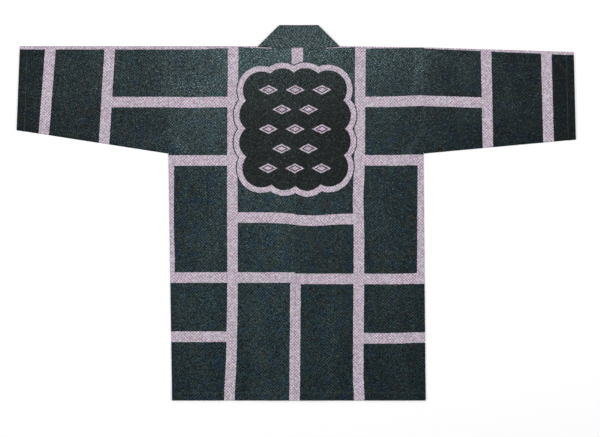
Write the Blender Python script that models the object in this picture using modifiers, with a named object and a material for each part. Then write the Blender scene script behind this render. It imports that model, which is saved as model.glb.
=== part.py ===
"""A happi coat laid out flat on its front, back up, as it is folded from the cut.

Two body panels each run from the back hem over the shoulder to the front hem, with the side closed
below the armhole. Two sleeves are tubes folded at the top. One collar band, folded lengthwise, runs
from hem to hem round the neck and turns under at a mitre on each side.
The coat's own frame has its zero at the centre back on the shoulder line, +Y towards the collar and
+X towards the coat's right as it is seen from above. Lengths are in millimetres until they are placed.
"""

import math
from collections import namedtuple

import bmesh
import bpy
from mathutils import Vector

MM = 0.001

# Cloth
WALL = 1.2
SEAM_GAP = 0.3
LAYER_GAP = 0.8
FRONT_MIDDLE = WALL / 2

# Body and sleeves
BODY_LENGTH = 850.0
ARMHOLE = 258.0
UNDERARM_STEP = 4.0
REACH = 664.5
NECK_HALF_WIDTH = 99.0
NECK_DIP = 2.2

# Collar: a band of double cloth
COLLAR_THICKNESS = 2 * WALL + SEAM_GAP
COLLAR_TOP = 50.4
COLLAR_WIDTH = 51.0
FRONT_SEAM_AT_HEM = 57.0
COLLAR_SHORT_OF_HEM = 1.2
MITRE_CLEARANCE = 1.2
MITRE_TURN_LENGTH = 150.0

# The back rises over the collar's front stretches and comes down beside them
STRIP_RISE = COLLAR_THICKNESS + SEAM_GAP - WALL - LAYER_GAP
STRIP_SHOULDER = 18.0

# How the coat lies: the centre back and the collar are a little off the middle
CENTRE_BACK_DRIFT = -6.0
COLLAR_SHIFT = 4.8

# How each half lies: its side's distances from the middle, how far its fold sinks from the neck to
# the armhole and to the cuff, the cuff's depth, and how far the cuff leans out at its foot
Half = namedtuple("Half", "name hand side_top side_hem shoulder_drop cuff_drop cuff_depth cuff_lean")
HALVES = (
    Half("left", -1, 308.4, 299.4, 0.0, 0.0, 202.0, 7.5),
    Half("right", 1, 304.4, 309.6, 3.0, 14.0, 210.5, 5.0),
)

# Soft ridges of the upper layer, each a smooth hump round a line through its middle
Ridge = namedtuple("Ridge", "x y turn length width height")
RIDGES = (
    Ridge(-262, -103, 8, 62, 40, 1.1),
    Ridge(-309, -130, 90, 130, 9, 0.5),
    Ridge(-400, -215, 170, 110, 22, 0.5),
    Ridge(-560, -95, 84, 90, 26, 0.5),
    Ridge(285, -84, 62, 80, 14, 0.9),
    Ridge(306, -130, 90, 130, 9, 0.6),
    Ridge(450, -160, 12, 120, 24, 0.5),
    Ridge(590, -120, 95, 90, 24, 0.5),
    Ridge(36, -330, 88, 150, 16, 0.5),
    Ridge(-190, -430, 80, 180, 30, 0.4),
    Ridge(215, -520, 97, 170, 28, 0.5),
    Ridge(-95, -690, 93, 140, 24, 0.5),
    Ridge(84, -700, 88, 150, 18, 0.5),
    Ridge(-235, -745, 96, 110, 26, 0.4),
    Ridge(235, -760, 84, 100, 26, 0.4),
)

# Fineness of the meshes
FOLD_STEPS = 4
LOWER_ROWS = 12
UPPER_ROWS = 8
OUTER_COLUMNS = 9
SLEEVE_STATIONS = 13
SLEEVE_ROWS = 8
NECK_ROWS = 8
MITRE_STEPS = 7
FRONT_ROWS = 22

# Colours
INDIGO = (0.034, 0.052, 0.056)
COLLAR_INDIGO = (0.072, 0.092, 0.096)


def mix(a, b, share):
    return a + (b - a) * share


def ease(share):
    share = min(1.0, max(0.0, share))
    return share * share * (3 - 2 * share)


def spaced(first, last, steps):
    return [mix(first, last, i / steps) for i in range(steps + 1)]


def down(y):
    """How far down the coat y lies, from 0 at the shoulder line to 1 at the hem."""
    return min(1.0, max(0.0, -y / BODY_LENGTH))


def centre_back(y):
    return CENTRE_BACK_DRIFT * down(y)


def collar_centre(y):
    return mix(COLLAR_SHIFT, CENTRE_BACK_DRIFT, down(y))


def side(half, y):
    """The outer edge of a body half."""
    below_arm = max(0.0, -y - ARMHOLE) / (BODY_LENGTH - ARMHOLE)
    return half.hand * mix(half.side_top, half.side_hem, below_arm)


def front_seam(half, y):
    """The seam between a front and the collar, which runs in towards the hem."""
    return collar_centre(y) + half.hand * mix(NECK_HALF_WIDTH, FRONT_SEAM_AT_HEM, ease(down(y)))


def hump(x, y, ridge):
    turn = math.radians(ridge.turn)
    dx = x - ridge.x
    dy = y - ridge.y
    along = dx * math.cos(turn) + dy * math.sin(turn)
    across = -dx * math.sin(turn) + dy * math.cos(turn)
    return ridge.height * math.exp(-((along / ridge.length) ** 2) - (across / ridge.width) ** 2)


def over_strip(x, y):
    """1 above a front stretch of the collar, falling to 0 beside it."""
    most = 0.0
    for half in HALVES:
        outer = half.hand * (front_seam(half, y) - collar_centre(y))
        inner = outer - COLLAR_WIDTH
        here = half.hand * (x - collar_centre(y))
        away = max(inner - here, here - outer, 0.0)
        most = max(most, 1 - ease(away / STRIP_SHOULDER))
    return most


def back_height(x, y):
    """The middle of the upper layer's wall, above what the coat lies on."""
    ridges = sum(hump(x, y, ridge) for ridge in RIDGES)
    return FRONT_MIDDLE + WALL + LAYER_GAP + STRIP_RISE * over_strip(x, y) + ridges


def fold_radius(x, y):
    """Half the distance between the two layers, where one turns into the other."""
    return (back_height(x, y) - FRONT_MIDDLE) / 2


def fold_angles():
    """The turns between the upper layer, at 0, and the lower one, at a half turn."""
    return [math.pi * i / (FOLD_STEPS + 1) for i in range(1, FOLD_STEPS + 1)]


def bridge(bm, first, second):
    """Quads between two rows with as many points."""
    for i in range(len(first) - 1):
        bm.faces.new((first[i], first[i + 1], second[i + 1], second[i]))


def fabric(name, colour):
    made = bpy.data.materials.new(name)
    made.use_nodes = True
    shader = made.node_tree.nodes["Principled BSDF"]
    shader.inputs["Base Color"].default_value = (*colour, 1)
    shader.inputs["Roughness"].default_value = 0.9
    shader.inputs["Metallic"].default_value = 0.0
    return made


def finish(bm, name, colour, collection, frame, thickness):
    """Makes the mesh an object in the coat's frame, with a wall where it is a bare surface."""
    for vert in bm.verts:
        vert.co *= MM
    bmesh.ops.recalc_face_normals(bm, faces=bm.faces)
    mesh = bpy.data.meshes.new(name)
    bm.to_mesh(mesh)
    bm.free()
    mesh.materials.append(fabric(name + " cotton", colour))
    piece = bpy.data.objects.new(name, mesh)
    collection.objects.link(piece)
    piece.parent = frame
    if thickness:
        wall = piece.modifiers.new("wall", "SOLIDIFY")
        wall.thickness = thickness * MM
        wall.offset = 0
        wall.use_even_offset = True
    return piece


def body_surface(half):
    """The middle surface of one panel: back, shoulder fold, front and side fold."""
    bm = bmesh.new()
    levels = spaced(-BODY_LENGTH, -ARMHOLE, LOWER_ROWS)
    levels += spaced(-ARMHOLE + UNDERARM_STEP, 0.0, UPPER_ROWS)
    top = len(levels) - 1

    def between(inner, share, y):
        """The x at a share of the way from an inner edge to the side, and y short of a fold there."""
        inset = 0.0
        if y <= -ARMHOLE:
            inset = half.hand * (WALL / 2 + fold_radius(side(half, y), y))
        x = mix(inner, side(half, y) - inset, share)
        if y == 0.0:
            y = -half.shoulder_drop * share - WALL / 2 - fold_radius(x, y)
        return x, y

    def back_point(share, y):
        x, y = between(front_seam(half, y), share, y)
        return (x, y, back_height(x, y))

    def front_point(share, y):
        x, y = between(front_seam(half, y) + half.hand * SEAM_GAP / 2, share, y)
        return (x, y, FRONT_MIDDLE)

    shares = spaced(0.0, 1.0, OUTER_COLUMNS)
    back = [[bm.verts.new(back_point(share, y)) for share in shares] for y in levels]
    front = [[bm.verts.new(front_point(share, y)) for share in shares] for y in levels]
    shoulder = []
    for angle in fold_angles():
        row = []
        for upper, lower in zip(back[top], front[top]):
            radius = (upper.co.z - lower.co.z) / 2
            x = mix(upper.co.x, lower.co.x, angle / math.pi)
            y = upper.co.y + radius * math.sin(angle)
            z = lower.co.z + radius * (1 + math.cos(angle))
            row.append(bm.verts.new((x, y, z)))
        shoulder.append(row)
    rows = back + shoulder + front[::-1]
    for first, second in zip(rows, rows[1:]):
        bridge(bm, first, second)

    def inner_point(place, y):
        """A point between the centre back, at place 0, and the front seam's line, at place 4."""
        edge = front_seam(half, y)
        strip = edge - half.hand * COLLAR_WIDTH
        centre = centre_back(y) + half.hand * SEAM_GAP / 2
        x = (centre, mix(centre, strip, 0.5), strip, mix(strip, edge, 0.5))[place]
        if y == 0.0:
            y = neck_edge(x)
        return (x, y, back_height(x, y))

    inner = [[bm.verts.new(inner_point(place, y)) for place in range(4)] for y in levels]
    inner = [row + [outer[0]] for row, outer in zip(inner, back)]
    for first, second in zip(inner, inner[1:]):
        bridge(bm, first, second)

    closed = []
    for upper, lower in zip(back[: LOWER_ROWS + 1], front[: LOWER_ROWS + 1]):
        radius = (upper[-1].co.z - lower[-1].co.z) / 2
        turn = [upper[-1]]
        for angle in fold_angles():
            x = upper[-1].co.x + half.hand * radius * math.sin(angle)
            z = lower[-1].co.z + radius * (1 + math.cos(angle))
            turn.append(bm.verts.new((x, upper[-1].co.y, z)))
        closed.append(turn + [lower[-1]])
    for first, second in zip(closed, closed[1:]):
        bridge(bm, first, second)
    return bm


def neck_edge(x):
    """The back's edge at the collar, which dips below the shoulder fold between the neck points."""
    share = min(1.0, abs(x - COLLAR_SHIFT) / NECK_HALF_WIDTH)
    fold = WALL / 2 + fold_radius(x, 0.0)
    return -fold - NECK_DIP * (1 - share**4)


def sleeve_surface(half):
    """The middle surface of one sleeve, rings from the armhole to the cuff."""
    bm = bmesh.new()
    shoulder_x = side(half, 0.0) + half.hand * SEAM_GAP
    rings = []
    for out in spaced(0.0, 1.0, SLEEVE_STATIONS):
        fold_x = mix(shoulder_x, half.hand * REACH, out)
        foot_x = mix(shoulder_x, half.hand * (REACH + half.cuff_lean), out)
        fold_y = -mix(half.shoulder_drop, half.cuff_drop, out)
        foot_y = mix(-ARMHOLE, -half.cuff_drop - half.cuff_depth, out)
        fold_inset = WALL / 2 + fold_radius(fold_x, fold_y)
        foot_inset = WALL / 2 + fold_radius(foot_x, foot_y)
        ends = ((foot_x, foot_y + foot_inset), (fold_x, fold_y - fold_inset))
        upper = [
            (mix(ends[0][0], ends[1][0], up), mix(ends[0][1], ends[1][1], up))
            for up in spaced(0.0, 1.0, SLEEVE_ROWS)
        ]
        ring = [(x, y, back_height(x, y)) for x, y in upper]
        ring += turned(ring[-1], 1)
        ring += [(x, y, FRONT_MIDDLE) for x, y in upper[::-1]]
        ring += turned(ring[0], -1)[::-1]
        rings.append([bm.verts.new(point) for point in ring])
    for first, second in zip(rings, rings[1:]):
        bridge(bm, first + first[:1], second + second[:1])
    return bm


def turned(edge, way):
    """The points of a fold from the upper layer's edge down to the lower layer, bulging along Y."""
    x, y, z = edge
    radius = (z - FRONT_MIDDLE) / 2
    return [
        (x, y + way * radius * math.sin(angle), FRONT_MIDDLE + radius * (1 + math.cos(angle)))
        for angle in fold_angles()
    ]


# Across the collar band: the share of its width from the seam to the free edge, the distance short
# of the free edge, and the height from its middle, round a cloth folded double
Corner = namedtuple("Corner", "share short height")
HALF_THICKNESS = COLLAR_THICKNESS / 2
HALF_SLOT = SEAM_GAP / 2
BAND_SECTION = (
    Corner(0, 0, HALF_THICKNESS),
    Corner(0.5, 0, HALF_THICKNESS),
    Corner(1, HALF_THICKNESS, HALF_THICKNESS),
    Corner(1, 0.29 * HALF_THICKNESS, 0.71 * HALF_THICKNESS),
    Corner(1, 0, 0),
    Corner(1, 0.29 * HALF_THICKNESS, -0.71 * HALF_THICKNESS),
    Corner(1, HALF_THICKNESS, -HALF_THICKNESS),
    Corner(0.5, 0, -HALF_THICKNESS),
    Corner(0, 0, -HALF_THICKNESS),
    Corner(0, 0, -HALF_SLOT),
    Corner(0.5, 0, -HALF_SLOT),
    Corner(1, WALL + HALF_SLOT, -HALF_SLOT),
    Corner(1, WALL, 0),
    Corner(1, WALL + HALF_SLOT, HALF_SLOT),
    Corner(0.5, 0, HALF_SLOT),
    Corner(0, 0, HALF_SLOT),
)


def collar_rows(half):
    """Rows across the band from the centre back to one hem, each (seam edge, free edge, up)."""
    hand = half.hand
    radius = (COLLAR_THICKNESS + SEAM_GAP) / 2
    band_middle = SEAM_GAP + 1.5 * COLLAR_THICKNESS
    roll = radius + HALF_THICKNESS
    # The mitre's line runs at 45 degrees, with its roll just inside the line through the neck point
    neck_x = COLLAR_SHIFT + hand * (NECK_HALF_WIDTH - MITRE_CLEARANCE - roll * math.sqrt(2))
    seam_y = neck_edge(front_seam(half, 0.0)) + SEAM_GAP + MITRE_CLEARANCE
    seam_start = Vector((neck_x + hand * -seam_y, seam_y, 0))
    free_start = Vector((neck_x - hand * COLLAR_TOP, COLLAR_TOP, 0))
    rows = []
    for share in spaced(0.0, 1.0, NECK_ROWS)[:-1]:
        seam_x = mix(COLLAR_SHIFT, seam_start.x, share)
        free_x = mix(COLLAR_SHIFT, free_start.x, share)
        seam_y = neck_edge(seam_x) + SEAM_GAP + MITRE_CLEARANCE * ease(2 * share - 1)
        sag = STRIP_RISE * (1 - max(over_strip(seam_x, 0.0), ease(2 * share - 0.6)))
        z = band_middle - sag
        rows.append((Vector((seam_x, seam_y, z)), Vector((free_x, COLLAR_TOP, z)), Vector((0, 0, 1))))
    along = Vector((-hand, 1, 0)).normalized()
    outward = Vector((hand, 1, 0)).normalized()
    axis_z = band_middle - radius
    for angle in spaced(0.0, math.pi, MITRE_STEPS):
        up = outward * math.sin(angle) + Vector((0, 0, math.cos(angle)))
        shift = up * radius - along * radius * angle + Vector((0, 0, axis_z))
        rows.append((seam_start + shift, free_start + shift, up))
    seam_end, free_end = rows[-1][0], rows[-1][1]
    hem_y = -BODY_LENGTH + COLLAR_SHORT_OF_HEM
    for share in spaced(0.0, 1.0, FRONT_ROWS)[1:]:
        # The rows lie closer together near the mitre, and turn from its slant to straight across
        seam_y = mix(seam_end.y, hem_y, mix(share * share, share, 0.4))
        slant = 1 - ease((seam_end.y - seam_y) / MITRE_TURN_LENGTH)
        free_y = seam_y + (free_end.y - seam_end.y) * slant
        seam_x = front_seam(half, seam_y)
        free_x = front_seam(half, min(free_y, 0.0)) - hand * COLLAR_WIDTH
        start = ease((seam_end.y - seam_y) / COLLAR_WIDTH)
        seam_x = mix(seam_end.x, seam_x - hand * SEAM_GAP / 2, start)
        free_x = mix(free_end.x, free_x, start)
        z = HALF_THICKNESS
        rows.append((Vector((seam_x, seam_y, z)), Vector((free_x, free_y, z)), Vector((0, 0, -1))))
    return rows


def collar_solid():
    bm = bmesh.new()
    left, right = (collar_rows(half) for half in HALVES)
    rings = []
    for seam, free, up in left[::-1] + right[1:]:
        width = (free - seam).length
        across = (free - seam).normalized()
        ring = []
        for corner in BAND_SECTION:
            reach = corner.share * width - corner.short
            ring.append(bm.verts.new(seam + across * reach + up * corner.height))
        rings.append(ring)
    for first, second in zip(rings, rings[1:]):
        bridge(bm, first + first[:1], second + second[:1])
    bm.faces.new(rings[0])
    bm.faces.new(rings[-1])
    return bm


def main():
    for old in list(bpy.data.objects):
        bpy.data.objects.remove(old)
    collection = bpy.data.collections.new("happi_coat")
    bpy.context.scene.collection.children.link(collection)
    frame = bpy.data.objects.new("coat_frame", None)
    collection.objects.link(frame)
    leans = [half.hand * (REACH + half.cuff_lean) for half in HALVES]
    frame.location = (-sum(leans) / 2 * MM, (BODY_LENGTH - COLLAR_TOP) / 2 * MM, 0)

    for half in HALVES:
        finish(body_surface(half), "body_" + half.name, INDIGO, collection, frame, WALL)
        finish(sleeve_surface(half), "sleeve_" + half.name, INDIGO, collection, frame, WALL)
    finish(collar_solid(), "collar", COLLAR_INDIGO, collection, frame, 0)


main()
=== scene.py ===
"""The looks of a happi coat that lies flat with its back up.

Fine cloth is cut, laid and sewn over the plain solids of the body, the sleeves and the collar, dyed
with pale bands, and set on a pale floor under soft light. The coat's own zero is at the centre back
on the shoulder line, +Y towards the collar. Its sizes are worked out in millimetres.
"""

import math
from collections import namedtuple

import bpy
import numpy as np
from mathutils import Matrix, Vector, noise


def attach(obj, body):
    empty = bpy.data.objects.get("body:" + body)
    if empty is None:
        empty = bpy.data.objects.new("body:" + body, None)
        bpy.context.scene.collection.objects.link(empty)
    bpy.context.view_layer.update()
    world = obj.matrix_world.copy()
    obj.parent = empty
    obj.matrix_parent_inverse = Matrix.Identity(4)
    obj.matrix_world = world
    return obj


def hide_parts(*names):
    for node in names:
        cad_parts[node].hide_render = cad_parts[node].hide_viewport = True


bl_info = {
    "name": "Happi Coat",
    "version": (1, 0, 0),
    "blender": (4, 5, 0),
    "location": "View3D > Sidebar > Happi Coat",
    "description": "Cuts, lays and dyes a happi coat, and sets a floor, light and camera",
    "category": "Object",
}

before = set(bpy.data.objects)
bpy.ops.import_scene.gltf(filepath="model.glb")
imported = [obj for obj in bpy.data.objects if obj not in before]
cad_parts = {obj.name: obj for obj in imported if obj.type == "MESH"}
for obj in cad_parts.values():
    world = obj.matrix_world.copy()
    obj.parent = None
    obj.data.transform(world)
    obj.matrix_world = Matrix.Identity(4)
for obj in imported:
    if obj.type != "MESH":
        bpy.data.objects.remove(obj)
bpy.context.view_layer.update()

MM = 0.001

# How the coat lies: the centre back drifts to one side, and the collar sits a little to the other
CENTRE_BACK_DRIFT = -6.0
COLLAR_SHIFT = 4.8
NECK_DIP = 2.2
SEAM_GAP = 0.3
LAYER_GAP = 0.8
STRIP_SHOULDER = 18.0
COLLAR_SHORT_OF_HEM = 1.2
MITRE_CLEARANCE = 1.2
MITRE_TURN_LENGTH = 150.0

# How each half lies: its side's distances from the middle, how far its fold sinks from the neck to
# the armhole and to the cuff, the cuff's depth, and how far the cuff leans out at its foot
Half = namedtuple(
    "Half", "name hand side_top side_hem shoulder_drop cuff_drop cuff_depth cuff_lean"
)
HALVES = (
    Half("left", -1, 308.4, 299.4, 0.0, 0.0, 202.0, 7.5),
    Half("right", 1, 304.4, 309.6, 3.0, 14.0, 210.5, 5.0),
)

# Creases of the upper layer, each a smooth ridge, or a trough where its height is negative, round a
# line through its middle
Crease = namedtuple("Crease", "x y turn length width height")
CREASES = [Crease(*row) for row in (
    # the broad ones, which the solids have too
    (-262, -103, 8, 62, 40, 1.1),
    (-309, -130, 90, 130, 9, 0.5),
    (-400, -215, 170, 110, 22, 0.5),
    (-560, -95, 84, 90, 26, 0.5),
    (285, -84, 62, 80, 14, 0.9),
    (306, -130, 90, 130, 9, 0.6),
    (450, -160, 12, 120, 24, 0.5),
    (590, -120, 95, 90, 24, 0.5),
    (36, -330, 88, 150, 16, 0.5),
    (-190, -430, 80, 180, 30, 0.4),
    (215, -520, 97, 170, 28, 0.5),
    (-95, -690, 93, 140, 24, 0.5),
    (84, -700, 88, 150, 18, 0.5),
    (-235, -745, 96, 110, 26, 0.4),
    (235, -760, 84, 100, 26, 0.4),
    # on the left shoulder and from the left underarm
    (-248, -80, 176, 34, 7, -0.5),
    (-232, -92, 6, 44, 9, 0.4),
    (-270, -118, 4, 38, 7, -0.4),
    (-283, -236, 128, 42, 7, 0.7),
    (-262, -268, 112, 58, 9, 0.5),
    (-338, -232, 38, 44, 7, 0.55),
    (-372, -196, 22, 60, 9, -0.35),
    # on the right shoulder and from the right underarm
    (287, -62, 83, 46, 6, 0.75),
    (268, -104, 70, 36, 8, -0.4),
    (283, -232, 54, 40, 7, 0.7),
    (262, -266, 70, 60, 9, 0.45),
    (334, -226, 140, 46, 7, 0.6),
    (366, -190, 158, 52, 9, -0.35),
    # along the sleeves
    (-476, -60, 97, 48, 10, 0.4),
    (-520, -176, 66, 52, 9, 0.45),
    (-628, -150, 88, 46, 8, 0.4),
    (-644, -60, 100, 36, 7, -0.3),
    (405, -70, 88, 52, 9, 0.4),
    (512, -120, 104, 60, 10, 0.45),
    (560, -190, 58, 38, 8, 0.4),
    (640, -80, 84, 44, 8, -0.3),
    # down the back
    (-118, -372, 84, 70, 9, 0.4),
    (-44, -470, 97, 84, 11, 0.35),
    (112, -448, 80, 66, 9, 0.4),
    (42, -418, 6, 66, 9, 0.55),
    (16, -436, 172, 52, 8, -0.35),
    (-214, -560, 100, 90, 10, 0.4),
    (178, -640, 78, 74, 9, 0.35),
    (276, -640, 94, 92, 8, 0.45),
    (-276, -610, 88, 96, 8, 0.45),
    (-40, -790, 84, 56, 8, 0.5),
    (-150, -806, 104, 44, 8, 0.4),
    (140, -802, 74, 48, 8, 0.45),
    (262, -812, 98, 38, 7, 0.4),
)]

# Where the cloth of the back sags, is drawn up or is drawn aside, which bends the bands a little
Sag = namedtuple("Sag", "x y width depth drop aside")
SAGS = [Sag(*row) for row in (
    (32, -414, 58, 70, 6.0, 0.0),
    (120, -418, 70, 60, 1.2, 0.0),
    (310, -128, 65, 60, -4.6, 0.0),
    (-256, -134, 40, 40, 1.4, 0.0),
    (-184, -4, 26, 26, -2.8, 0.0),
    (300, -262, 54, 40, -2.8, 0.0),
    (305, -556, 56, 60, -1.8, 0.0),
    (305, -700, 54, 60, -2.4, 0.0),
    (-160, -585, 60, 190, 0.0, 2.4),
    (-160, -842, 70, 60, 0.0, -3.6),
    (146, -366, 50, 62, 0.0, -3.2),
    (148, -846, 60, 36, 0.0, 3.0),
    (-292, -520, 36, 60, 0.0, 3.4),
)]

BAND_WIDTH = 25.2
BAND_SOFT = 1.0

# The pale bands. One that runs down is placed by its middle's distance from the centre back at the
# shoulder, leans by a share of its depth, and starts and ends at a depth below the shoulder. One
# that runs across is placed by its depth, or at the shoulder fold by its distance past the fold.
Band = namedtuple("Band", "at start end lean", defaults=(0.0,))
BODY_BANDS = {
    "left": {
        "down": ((-152.5, -20, 870), (0.6, -20, 80), (0.8, 556, 870), (-305.0, 274, 556)),
        "fold": ((4.6, -330, -150), (3.07, -150, -60, -0.0556)),
        "across": (
            (134.0, -330, -152.5),
            (274.4, -330, -152.5),
            (411.2, -152.5, 20),
            (555.2, -330, 20),
            (697.2, -330, -152.5),
        ),
    },
    "right": {
        "down": ((152.8, -20, 870), (2.4, -20, 80), (0.8, 556, 870), (304.8, 274, 556)),
        "fold": ((3.1, 150, 330, 0.0284), (2.75, 70, 150, 0.0577)),
        "across": (
            (132.7, 152.5, 330),
            (273.2, 152.5, 330),
            (412.8, -20, 152.5),
            (558.3, -20, 330),
            (700.8, 152.5, 330),
        ),
    },
}
SLEEVE_BANDS = {
    "left": {
        "down": ((-448.2, -20, 300, -0.06), (-590.4, -20, 300, -0.0775)),
        "fold": ((4.6, -700, -290),),
        "across": ((134.2, -455, -290),),
    },
    "right": {
        "down": ((454.0, -20, 300, 0.02), (598.5, -20, 300, 0.025)),
        "fold": ((14.4, 290, 700, -0.0145),),
        "across": ((128.3, 290, 456),),
    },
}

# The black panel on the upper back: its middle, the lobes of its edge, and the lozenges on it
PANEL_MIDDLE = (-2.8, -199.0)
PANEL_CORE = (88.0, 98.0)
PANEL_OUTLINE = 13.0
PANEL_LINE = 2.6
PANEL_SOFT = 0.9
Lobe = namedtuple("Lobe", "x y radius")
PANEL_LOBES = [Lobe(*row) for row in (
    (-90, 34, 44),
    (-92, -32, 42),
    (-80, -94, 46),
    (-26, -106, 40),
    (30, -103, 43),
    (84, -92, 45),
    (93, -30, 41),
    (91, 33, 43),
    (78, 95, 46),
    (24, 104, 42),
    (-31, 106, 40),
    (-81, 93, 45),
)]
LOZENGE_PITCH = (64.0, 47.0)
LOZENGE = (23.0, 11.5)
LOZENGE_RIM = 3.2
LOZENGE_ROWS = 2
LOZENGE_SOFT = 0.8
LOZENGE_REACH = 1.6
LOZENGE_CORE = 1.7

# The pieces were dyed apart: the seed of each one's noise, how far its dye is thin all over, how
# much lighter it is made round the underarm, and how light it is made overall, which scales the
# painted light falloff
Dyed = namedtuple("Dyed", "seed thin underarm light")
DYED = {
    "body_left": Dyed(2.0, 0.11, 0.18, 1.25),
    "body_right": Dyed(4.0, 0.1, 0.0, 0.98),
    "sleeve_left": Dyed(7.0, 0.09, 0.0, 1.1),
    "sleeve_right": Dyed(9.0, 0.04, 0.0, 0.92),
    "collar": Dyed(21.0, 0.0, 0.0, 1.62),
}
THIN_EVEN = 0.4
THIN_CLOUDY = 1.2
UNDERARM_MIDDLE = (228.0, 196.0)
UNDERARM_REACH = 95.0

# Painted sheen, a painted highlight that is lightest near the neck and on the tops of creases: how
# far it reaches down and out, how strong it is evenly and in clouds, and what a crease adds for
# each metre that it stands up
PaintedSheen = namedtuple("PaintedSheen", "down out even cloudy crest")
PAINTED_SHEEN = PaintedSheen(190.0, 640.0, 0.17, 0.54, 180.0)

# Painted light and shade: the dark cloth is painted lighter at the neck and darker towards the
# cuffs and
# the hem: its lightness at the neck, and its loss for each metre out, for each metre far out, and
# for each metre down
Depth = namedtuple("Depth", "neck out far down")
PAINTED_LIGHT_FALLOFF = Depth(1.3, 1.15, 0.75, 0.36)
FAR_OUT = 500.0

# Grains all over the cloth: how many to a metre across and along, a seed, how far they break up,
# and where they set in and are full
Grain = namedtuple("Grain", "across along seed detail start full", defaults=(None, None))
DRIFT = Grain(55.0, 55.0, 0.0, 1.0)
CLOUDY = Grain(9.0, 7.0, 2.1, 3.0)
TINT = Grain(70.0, 70.0, 12.5, 2.0)
GREEN = Grain(55.0, 55.0, 15.1, 2.0)
STREAK = Grain(130.0, 6.0, 19.9, 1.0)
SHADE = Grain(120.0, 120.0, 5.9, 1.0, 0.3, 0.7)
HEATHER = Grain(310.0, 310.0, 9.4, 1.0, 0.40, 0.60)
GLINT = Grain(430.0, 430.0, 3.8, 1.0, 0.60, 0.70)
WOBBLES = (Grain(110.0, 110.0, 7.7, 2.0), Grain(110.0, 110.0, 17.7, 2.0))
YARN_DRIFT = 1.4
WOBBLE_REACH = 2.2

# Marks along a yarn: how many to its width and to a metre of it, and the warp's and weft's seeds
Mark = namedtuple("Mark", "width length warp_seed weft_seed")
SLUB = Mark(0.62, 34.0, 1.3, 4.7)
FLECK = Mark(0.42, 210.0, 6.2, 16.2)
TONE = Mark(0.5, 150.0, 25.4, 27.9)

# Where other changes set in, and where they are full
NEP_RANGE = (0.65, 0.74)
TONE_RANGE = (0.38, 0.62)
CLOUDY_RANGE = (0.36, 0.64)
COOL_RANGE = (0.42, 0.6)
HATCH_RANGE = (0.15, 0.85)
PALE_HATCH_RANGE = (0.2, 0.8)

# Yarns of other tints in the dark cloth: the grain that they follow, where it sets in and is full,
# how strong they are, and their colour
Tint = namedtuple("Tint", "grain start full share colour")
TINTS = (
    Tint("tint", 0.52, 0.66, 0.8, "warm"),
    Tint("tint", 0.48, 0.34, 0.8, "blue"),
    Tint("green", 0.54, 0.68, 0.7, "green"),
)

# What each part of the weave adds to the lightness of the dark and of the pale cloth, to its height
# and to its roughness
DARK_TONES = {"heather": 1.4, "yarns": 0.9, "shade": 0.2, "streak": 0.1}
PALE_TONES = {"thread": 0.2, "heather": 0.52, "crown": 0.06}
HEIGHTS = {"crown": 0.6, "thread": 0.4, "heather": 1.3, "nep": 0.8, "hatch": 0.4}
ROUGHNESSES = {"heather": -0.08, "glint": -0.18, "thread": 0.03}

# How far the crown of a yarn and the basket weave lighten the dark cloth, with the rest all over;
# the crowns are painted lighter than the gaps, a painted shade between the yarns. What is left all
# over in the pale
# cloth, and the knots: how many go for each metre down and on the panel, and the painted glints,
# bright points of painted highlight in the painted sheen: how many show and how bright they are
PAINTED_YARN_SHADE = (0.65, 0.4)
HATCH_LIGHT = (1.5, 0.25)
PALE_LIGHT = 0.62
KNOTS_LOST_DOWN = 0.55
KNOTS_LOST_ON_PANEL = 0.5
PAINTED_GLINT_SHARE = 1.5
PAINTED_GLINT_LIGHT = 6.5

# The roughness of the dark cloth, what pale dye and a low view add, and the bumps of the weave
SURFACE = {"Specular IOR Level": 0.09, "Sheen Weight": 0.01, "Sheen Roughness": 0.4}
DARK_ROUGHNESS = 0.36
PALE_ROUGHNESS = 0.42
GRAZING_ROUGHNESS = 0.6
BUMP_STRENGTH = 0.5
BUMP_DEPTH = 0.3

# How much one dye shows over another
# How much the painted sheen, with the thin dye, shows over the dark cloth and over the panel
SHEEN_AND_THIN_DYE_SHARE = 0.9
PANEL_SHEEN_AND_THIN_DYE_SHARE = 0.3
PLAIN_SHARE = 0.86
COOL_SHARE = 0.5
KNOT_SHARE = 0.95
STITCH_DYE = 0.35
RUB_DYE = 0.12

# Sewing
HEM_TURN = 18.0
HEM_RISE = 0.45
HEM_SLOPE = 3.0
STITCH_PITCH = 4.6
STITCH_SHARE = 0.62
STITCH_WIDTH = 0.9
STITCH_DEPTH = 1.6
STITCH_SOFT = 0.3
STITCH_END_SOFT = 0.1
SEAM_LINE = 0.16
SEAM_DIP = 0.3
SEAM_DIP_REACH = 3.0
PUCKER_RISE = 0.34
PUCKER_SIZE = 9.0
PUCKER_REACH = 13.0
PUCKER_SEEDS = {"body": 2.0, "centre": 5.0, "sleeve": 7.0}
RUB_REACH = 1.2
RUB_SOFT = 1.6
EDGE_ROUNDING = 0.3
ROUNDED_ABOVE = 50
SMOOTH_BELOW = 45

# The slow unevenness of the cloth, and how far and how fast a crease wanders for its width
Swell = namedtuple("Swell", "rise size seed")
SWELLS = (Swell(0.28, 95.0, 3.1), Swell(0.16, 38.0, 8.4))
COLLAR_SWELL = Swell(0.3, 26.0, 1.7)
COLLAR_FULLNESS = 0.35
CREASE_WANDER = 0.16
CREASE_WANDER_RATE = 0.9

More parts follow.
